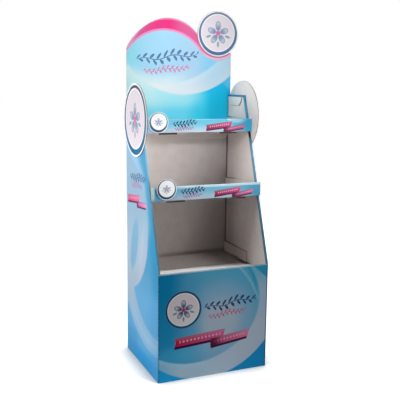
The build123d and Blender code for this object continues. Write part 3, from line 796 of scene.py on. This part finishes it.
def liners(node, pick):
    """The papers on both faces of a folded sheet: its CAD surface without the
    cut edges, thickened inwards, so that every cut edge lies open."""
    bm = bmesh.new()
    bm.from_mesh(NODES[node].data)
    bmesh.ops.remove_doubles(bm, verts=bm.verts, dist=2e-5)
    cut = []
    for reg in regions(bm):
        if width_of(reg) < 0.006:
            cut += reg
    bmesh.ops.delete(bm, geom=cut, context="FACES")
    for f in bm.faces:
        c = f.calc_center_median() / MM
        f.material_index = ORDER.index(pick(c, f.normal))
        f.smooth = False
    count = len(bm.faces)
    me = bpy.data.meshes.new(node + "_papers")
    bm.to_mesh(me)
    bm.free()
    tmp = bpy.data.objects.new(node + "_papers", me)
    bpy.context.scene.collection.objects.link(tmp)
    for key in ORDER:
        me.materials.append(MATS[key])
    mod = tmp.modifiers.new("paper", "SOLIDIFY")
    mod.thickness = LINER * MM
    mod.offset = -1.0
    mod.use_even_offset = True
    mod.use_rim = True
    dg = bpy.context.evaluated_depsgraph_get()
    out = bpy.data.meshes.new_from_object(tmp.evaluated_get(dg))
    bpy.data.objects.remove(tmp)
    bpy.data.meshes.remove(me)
    inner, rim = ORDER.index("kraft_x"), ORDER.index("edge")
    for i, poly in enumerate(out.polygons):
        if i >= 2 * count:
            poly.material_index = rim
        elif i >= count:
            poly.material_index = inner
    return out


class Flute:
    """Fluted paper for one flat panel. u runs across the flutes, v along them."""

    def __init__(self, bm, u_axis, v_axis, n_axis, level):
        self.bm, self.u, self.v, self.n, self.level = bm, u_axis, v_axis, n_axis, level

    def at(self, u, v, off):
        q = [0.0, 0.0, 0.0]
        q[self.u], q[self.v], q[self.n] = u * MM, v * MM, (self.level + off) * MM
        return self.bm.verts.new(q)

    def strip(self, u0, u1, span):
        """span(u) gives the run's two ends at u, or None."""
        steps = max(2, int(math.ceil((u1 - u0) / (PITCH / 8))))
        rows, closed = [], []
        for i in range(steps + 1):
            u = u0 + (u1 - u0) * i / steps
            ends = span(u)
            if ends is None or ends[1] - ends[0] < 0.6:
                if len(rows) > 1:
                    closed.append(rows)
                rows = []
                continue
            w = SWING * math.sin(2 * math.pi * u / PITCH)
            h = FLUTE_SHEET / 2
            lo, hi = ends
            rows.append([self.at(u, lo, w - h), self.at(u, hi, w - h),
                         self.at(u, hi, w + h), self.at(u, lo, w + h)])
        if len(rows) > 1:
            closed.append(rows)
        for rows in closed:
            for a, b in zip(rows, rows[1:]):
                for i in range(4):
                    j = (i + 1) % 4
                    self.bm.faces.new((a[i], a[j], b[j], b[i]))
            self.bm.faces.new(rows[0][::-1])
            self.bm.faces.new(rows[-1])

    def outline(self, node, face_normal, inset=0.3):
        """Fills the outline of a flat sheet, read off the CAD node's own rim."""
        bm = bmesh.new()
        bm.from_mesh(NODES[node].data)
        bmesh.ops.remove_doubles(bm, verts=bm.verts, dist=2e-5)
        side = [f for f in bm.faces if f.normal.dot(Vector(face_normal)) > 0.9]
        inside = set(side)
        segs = []
        for f in side:
            for e in f.edges:
                if not all(b in inside for b in e.link_faces):
                    a, b = [(w.co[self.u] / MM, w.co[self.v] / MM) for w in e.verts]
                    segs.append((a, b) if a[0] <= b[0] else (b, a))
        bm.free()
        stops = sorted({round(p[0], 3) for s in segs for p in s if abs(s[0][0] - s[1][0]) < 1e-3})
        u_lo = min(s[0][0] for s in segs) + inset
        u_hi = max(s[1][0] for s in segs) - inset
        cuts = [u_lo] + [c for c in stops if u_lo + 1 < c < u_hi - 1] + [u_hi]

        def crossings(u):
            vs = sorted(a[1] + (b[1] - a[1]) * (u - a[0]) / (b[0] - a[0])
                        for a, b in segs if a[0] <= u < b[0])
            return [(vs[i] + inset, vs[i + 1] - inset) for i in range(0, len(vs) - 1, 2)]

        for c0, c1 in zip(cuts, cuts[1:]):
            c0, c1 = c0 + inset * 0.5, c1 - inset * 0.5
            for i in range(len(crossings((c0 + c1) / 2))):
                def span(u, i=i):
                    got = crossings(u)
                    return got[i] if i < len(got) else None
                self.strip(c0, c1, span)


def build(node, pick, fill=None, smooth=False):
    """One sheet: papers, fluted paper between them, one object."""
    me = liners(node, pick)
    if fill is not None:
        bm = bmesh.new()
        bm.from_mesh(me)
        start = len(bm.faces)
        fill(bm)
        bm.faces.ensure_lookup_table()
        new = bm.faces[start:]
        index = ORDER.index("medium")
        for f in new:
            f.material_index = index
            f.smooth = False
        bmesh.ops.recalc_face_normals(bm, faces=list(new))
        bm.to_mesh(me)
        bm.free()
    # keep only the materials in use
    used = sorted({p.material_index for p in me.polygons})
    table = {old: i for i, old in enumerate(used)}
    idx = [table[p.material_index] for p in me.polygons]
    me.materials.clear()
    for old in used:
        me.materials.append(MATS[ORDER[old]])
    for p, i in zip(me.polygons, idx):
        p.material_index = i
    me.name = node + "_board"
    ob = bpy.data.objects.new(node + "_board", me)
    bpy.context.scene.collection.objects.link(ob)
    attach(ob, "root")
    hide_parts(node)
    return ob


def X(bm, level): return Flute(bm, 1, 2, 0, level)    # wall facing X, flutes upright
def Y(bm, level): return Flute(bm, 0, 2, 1, level)    # wall facing Y, flutes upright
def YL(bm, level): return Flute(bm, 2, 0, 1, level)   # wall facing Y, flutes level
def F(bm, level): return Flute(bm, 1, 0, 2, level)    # floor, flutes along X


# body: print outside, bare paper inside
def pick_body(c, n):
    if c.y > 206 and n.y > 0.7 and c.y > 209:
        return "flap"
    if c.x < -X_OUT + 3.2 and n.x < -0.6 and c.x < -247.0:
        return "side"
    if c.x > X_OUT - 3.2 and n.x > 0.6 and c.x > 247.0:
        return "side"
    if n.y < -0.5 and c.y < Y_FRONT + 3.0 and c.z < 463.0:
        return "front"
    edge = (n.z > 0.5 and c.z > H_SIDE - 0.5) or (n.y < -0.5 and abs(c.x) > X_IN - 1 and c.z > H_FRONT)
    if edge and abs(c.x) > X_IN - 0.7:
        return "bleed"
    if abs(n.x) < 0.99 and abs(c.x) > X_IN - 0.1 and n.y < -0.2 and c.z > H_FRONT:
        return "bleed"
    if n.y > 0.6 or n.y < -0.6:
        return "liner_x"
    if abs(c.x) < 247.0:
        return "wall_in"
    return "liner_y"


def fill_body(bm):
    drop = 4.3 * math.sqrt(1 + 1 / SLOPE ** 2)

    def top(y, gap):
        edge = H_FRONT + (y - Y_FRONT) / SLOPE - drop
        return min(edge, H_SIDE - 4.2) - gap

    for sx in (-1, 1):
        X(bm, sx * 248.0).strip(Y_FRONT + 4.3, Y_BACK - 4.3, lambda y: (0.3, top(y, 0.2)))
        slots = [(DECK_Z, (-90.0, 90.0), 60.0), (MID_Z, (-30.0, 110.0), 60.0), (TOP_Z, (45.0, 135.0), 46.0)]
        stops = [Y_FRONT + 4.8, Y_PANEL - 0.8]
        for zz, ys, ln in slots:
            for yy in ys:
                stops += [yy - ln / 2 - 0.6, yy + ln / 2 + 0.6]
        stops = sorted(s for s in stops if Y_FRONT + 4.7 < s < Y_PANEL - 0.7)
        for a, b in zip(stops, stops[1:]):
            m = (a + b) / 2
            gaps = sorted(zz for zz, ys, ln in slots for yy in ys if abs(m - yy) < ln / 2 + 0.5)
            lows = [330.3] + [zz + PLY + 0.4 for zz in gaps]
            tops = [zz - 0.4 for zz in gaps] + [None]
            for lo, hi in zip(lows, tops):
                def span(y, lo=lo, hi=hi):
                    t = top(y, 0.2) if hi is None else min(hi, top(y, 0.2))
                    return (lo, t) if t - lo > 1 else None
                X(bm, sx * 243.0).strip(a, b, span)
        # flap tucked over the top edge
        def tuck(y):
            lo = H_SIDE - 46.0
            for y0, s in ((55.0, 1), (192.0, -1)):
                d = (y - y0) * s
                if d < 4.0:
                    lo = max(lo, H_SIDE - d * 6.5)
                elif d < 23.0:
                    lo = max(lo, H_SIDE - 26.0 - (d - 4.0) * 20.0 / 19.0)
            return (lo + 0.4, H_SIDE - 4.0) if H_SIDE - 4.5 - lo > 1 else None
        X(bm, sx * 238.5).strip(55.6, 191.4, tuck)

        def rear(x):
            d = 22.0 * (246.0 - abs(x)) / 38.0
            d = min(max(d, 0.0), 22.0)
            return (d + 0.4, H_SIDE - d - 0.4)
        lo, hi = (208.3, 245.8) if sx > 0 else (-245.8, -208.3)
        Y(bm, 208.5).strip(lo, hi, rear)
    Y(bm, Y_FRONT + 2.0).strip(-245.8, 245.8, lambda x: (0.3, H_FRONT - 0.3))


build("body_wrap", pick_body, fill_body)


def flat(node, axis, front, back, flute):
    """A flat sheet that faces Y (axis 1) or X (axis 0)."""
    def pick(c, n):
        return front if n[axis] * flute[1] > 0 else back
    lo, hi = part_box(node)
    level = (lo[axis] + hi[axis]) / 2 / MM
    nrm = [0.0, 0.0, 0.0]
    nrm[axis] = 1.0

    def fill(bm):
        flute[0](bm, level).outline(node, nrm)
    return build(node, pick, fill)


flat("back_panel", 1, "back_in", "liner_x", (Y, -1))
flat("header_card", 1, "header", "liner_x", (Y, -1))
flat("header_disc", 1, "header_disc", "liner_x", (Y, -1))
flat("top_lip_disc", 1, "top_disc", "liner_x", (Y, -1))
flat("middle_lip_disc", 1, "mid_disc", "liner_x", (Y, -1))
flat("left_side_disc", 0, "left_disc", "liner_y", (X, -1))
flat("right_side_disc", 0, "right_disc", "liner_y", (X, 1))
flat("support_board_wide", 1, "kraft_x", "kraft_x", (Y, -1))
flat("support_board_deep", 0, "kraft_y", "kraft_y", (X, -1))

BT_Y0, BT_Y1, BT_X = Y_FRONT + 4.3, Y_PANEL - 0.3, 245.7


def fill_base(bm):
    F(bm, 2.0).strip(BT_Y0 + 4.2, BT_Y1 - 4.2, lambda y: (-BT_X + 4.2, BT_X - 4.2))
    for sx in (-1, 1):
        X(bm, sx * (BT_X - 2.0)).strip(BT_Y0 + 0.3, BT_Y1 - 0.3, lambda y: (4.3, 63.7))
    for level in (BT_Y0 + 2.0, BT_Y1 - 2.0):
        YL(bm, level).strip(4.3, 63.7, lambda z: (-BT_X + 4.4, BT_X - 4.4))


build("base_tray", lambda c, n: "kraft_y" if abs(n.z) > 0.5 else "kraft_x", fill_base)


def fill_deck(bm):
    y0, y1 = Y_FRONT + 4.5, Y_PANEL - 0.3
    F(bm, DECK_Z + 2.0).strip(y0 + 4.2, y1 - 4.2, lambda y: (-236.3, 236.3))
    for sx in (-1, 1):
        X(bm, sx * 238.6).strip(DECK_SIDE_Y + 0.3, y1 - 0.3, lambda y: (DECK_Z + 4.3, DECK_FLANGE - 0.3))
    YL(bm, y0 + 2.0).strip(DECK_Z + 4.3, DECK_FRONT - 0.3, lambda z: (-236.3, 236.3))
    YL(bm, y1 - 2.0).strip(DECK_Z - 35.7, DECK_Z, lambda z: (-236.3, 236.3))


def pick_tray(c, n):
    if abs(n.z) > 0.6:
        return "liner_y"
    if abs(n.x) > 0.6:
        return "liner_y"
    return "liner_z"


build("deck_tray",
      lambda c, n: "deck" if n.z > 0.6 and abs(c.z - DECK_Z - PLY) < 0.5 else pick_tray(c, n), fill_deck)


def shelf(node, y0, y1, z0, lip, flange, rise, rise_y, lead, key):
    def pick(c, n):
        if c.z < z0 - 0.2 and c.y < y0 + 20.0:
            return "tab"
        if n.y < -0.5 and c.y < y0 + 2.5:
            return key
        if n.z > 0.3 and c.z > lip - 2.7:
            return key
        if n.y > 0.5 and c.z > z0 + 4.6 and y0 + 8.5 < c.y < y0 + 9.2:
            return key
        if abs(n.y) > 0.6 and c.y < y0 + 14.0:
            return key.replace("lip", "tab")
        return pick_tray(c, n)

    def fill(bm):
        floor = F(bm, z0 + 2.0)
        a, b = y0 + 4.8, y0 + 9.3
        floor.strip(a, b, lambda y: (-236.3, -181.9))
        floor.strip(a, b, lambda y: (-98.0, 98.0))
        floor.strip(a, b, lambda y: (181.9, 236.3))
        floor.strip(b, y1 - 4.2, lambda y: (-236.3, 236.3))
        for sx in (-1, 1):
            def side(y):
                t = flange + (rise - flange) * min(1.0, max(0.0, (y1 - y) / (y1 - rise_y)))
                if y < y0 + lead:
                    t = z0 + 10.0 + (rise - z0 - 10.0) * (y - y0 - 14.0) / (lead - 14.0)
                return (z0 + 4.3, t - 0.3) if t - z0 > 5.5 else None
            X(bm, sx * 238.6).strip(y0 + 14.3, y1 - 0.3, side)
        YL(bm, y1 - 2.0).strip(z0 - 31.7, z0, lambda z: (-236.3, 236.3))
        YL(bm, y0 + 2.0).strip(z0 + 2.2, lip - 1.6, lambda z: (-249.7, 249.7))
        YL(bm, y0 + 7.0).strip(z0 + 4.7, lip - 1.6, lambda z: (-249.7, 249.7))
        for s in (-1, 1):
            lo, hi = (98.8, 180.7) if s > 0 else (-180.7, -98.8)
            YL(bm, y0 + 7.0).strip(z0 - 7.7, z0 + 4.2, lambda z, lo=lo, hi=hi: (lo, hi))
    return build(node, pick, fill)


shelf("middle_shelf", MID_Y, Y_PANEL - 0.3, MID_Z, MID_LIP, MID_FLANGE, MID_RISE, MID_RISE_Y, 36.0, "mid_lip")
shelf("top_shelf", TOP_Y, Y_PANEL - PLY - 0.3, TOP_Z, TOP_LIP, TOP_FLANGE, TOP_FLANGE, TOP_Y + 44.0, 44.0, "top_lip")

# -------------------------------------------------------------------- stage
scene = bpy.context.scene
scene.view_settings.view_transform = "Standard"

floor_mesh = bpy.data.meshes.new("floor")
floor_mesh.from_pydata([(-40, -40, 0), (40, -40, 0), (40, 40, 0), (-40, 40, 0)], [], [(0, 1, 2, 3)])
floor = bpy.data.objects.new("floor", floor_mesh)
scene.collection.objects.link(floor)
# the floor glows for camera rays only; ambient occlusion dims that glow next to the stand, a painted contact shadow
fm = bpy.data.materials.new("floor_paper")
fm.use_nodes = True
fm.node_tree.nodes["Principled BSDF"].inputs["Base Color"].default_value = (0.6, 0.6, 0.6, 1)
fm.node_tree.nodes["Principled BSDF"].inputs["Roughness"].default_value = 0.9
fm.node_tree.nodes["Principled BSDF"].inputs["Emission Color"].default_value = (1, 1, 1, 1)
seen = fm.node_tree.nodes.new("ShaderNodeLightPath")
near = fm.node_tree.nodes.new("ShaderNodeAmbientOcclusion")
near.samples = 8
near.inputs["Distance"].default_value = 0.11
level = fm.node_tree.nodes.new("ShaderNodeMapRange")
level.inputs["From Min"].default_value = 0.45
level.inputs["From Max"].default_value = 1.0
level.inputs["To Min"].default_value = 0.1
level.inputs["To Max"].default_value = 0.96
fm.node_tree.links.new(near.outputs["AO"], level.inputs["Value"])
lift = fm.node_tree.nodes.new("ShaderNodeMath")
lift.operation = "MULTIPLY"
fm.node_tree.links.new(level.outputs["Result"], lift.inputs[1])
fm.node_tree.links.new(seen.outputs["Is Camera Ray"], lift.inputs[0])
fm.node_tree.links.new(lift.outputs[0], fm.node_tree.nodes["Principled BSDF"].inputs["Emission Strength"])
floor_mesh.materials.append(fm)

world = bpy.data.worlds.new("studio")
scene.world = world
world.use_nodes = True
wt = world.node_tree
bg = wt.nodes["Background"]
bg.inputs["Color"].default_value = (1.0, 1.0, 1.0, 1.0)
path = wt.nodes.new("ShaderNodeLightPath")
level = wt.nodes.new("ShaderNodeMapRange")
level.inputs["To Min"].default_value = 0.06
level.inputs["To Max"].default_value = 1.0
wt.links.new(path.outputs["Is Camera Ray"], level.inputs["Value"])
wt.links.new(level.outputs["Result"], bg.inputs["Strength"])


def lamp(name, at, to, size, watts, cone=None, tint=(1.0, 1.0, 1.0)):
    """A soft disk, or with cone (degrees) a soft-edged spot."""
    light = bpy.data.lights.new(name, "AREA" if cone is None else "SPOT")
    if cone is None:
        light.shape = "DISK"
        light.size = size
    else:
        light.spot_size = math.radians(cone)
        light.spot_blend = 1.0
        light.shadow_soft_size = size
    light.energy = watts
    light.color = tint
    ob = bpy.data.objects.new(name, light)
    ob.location = at
    ob.rotation_mode = "QUATERNION"
    ob.rotation_quaternion = (Vector(to) - Vector(at)).to_track_quat("-Z", "Y")
    ob.visible_camera = False
    scene.collection.objects.link(ob)


lamp("left", (-3.2, 0.5, 1.7), (0.0, 0.0, 0.8), 2.0, 35.0)
lamp("left_spot", (-3.3, 0.5, 1.6), (-0.25, 0.05, 0.85), 0.5, 260.0, 30.0)
lamp("left_high", (-2.6, -0.6, 3.0), (0.0, 0.0, 1.0), 1.5, 28.0)
lamp("front_right", (2.2, -2.6, 2.2), (0.0, 0.0, 0.8), 2.0, 25.0)
lamp("overhead", (0.3, -0.98, 4.1), (0.0, -0.12, 0.5), 0.14, 400.0, 13.0, (0.88, 0.96, 1.0))
lamp("on_header", (0.2, -3.2, 2.2), (0.0, 0.1, 1.45), 0.35, 412.0, 18.0, (0.9, 0.96, 1.0))
lamp("on_shelves", (1.2, -2.9, 1.3), (0.0, 0.0, 1.0), 0.35, 56.0, 15.0)
lamp("on_lips", (2.9, -1.7, 1.0), (0.0, -0.1, 0.91), 0.15, 710.0, 9.0)
lamp("on_walls", (-1.7, -1.9, 2.0), (0.26, -0.05, 0.94), 0.12, 150.0, 7.6)
lamp("right", (3.0, 0.6, 1.8), (0.0, 0.0, 0.8), 2.0, 20.0)
lamp("behind", (0.6, 3.2, 1.7), (0.0, 0.0, 0.8), 2.0, 40.0)

# ------------------------------------------------------------------- camera
cam = bpy.data.cameras.new("camera")
cam.sensor_width = 36.0
cam.lens = 61.39
cam.clip_start, cam.clip_end = 0.05, 200.0
cam_ob = bpy.data.objects.new("camera", cam)
yaw, pitch, roll = math.radians(23.384), math.radians(-9.832), math.radians(0.736)
fw = Vector((math.sin(yaw) * math.cos(pitch), math.cos(yaw) * math.cos(pitch), math.sin(pitch)))
rt = Vector((math.cos(yaw), -math.sin(yaw), 0.0))
up = rt.cross(fw)
r2 = math.cos(roll) * rt + math.sin(roll) * up
u2 = -math.sin(roll) * rt + math.cos(roll) * up
m = Matrix((r2, u2, -fw)).transposed().to_4x4()
m.translation = Vector((-1.1473, -2.6954, 1.2267))
cam_ob.matrix_world = m
scene.collection.objects.link(cam_ob)
scene.camera = cam_ob
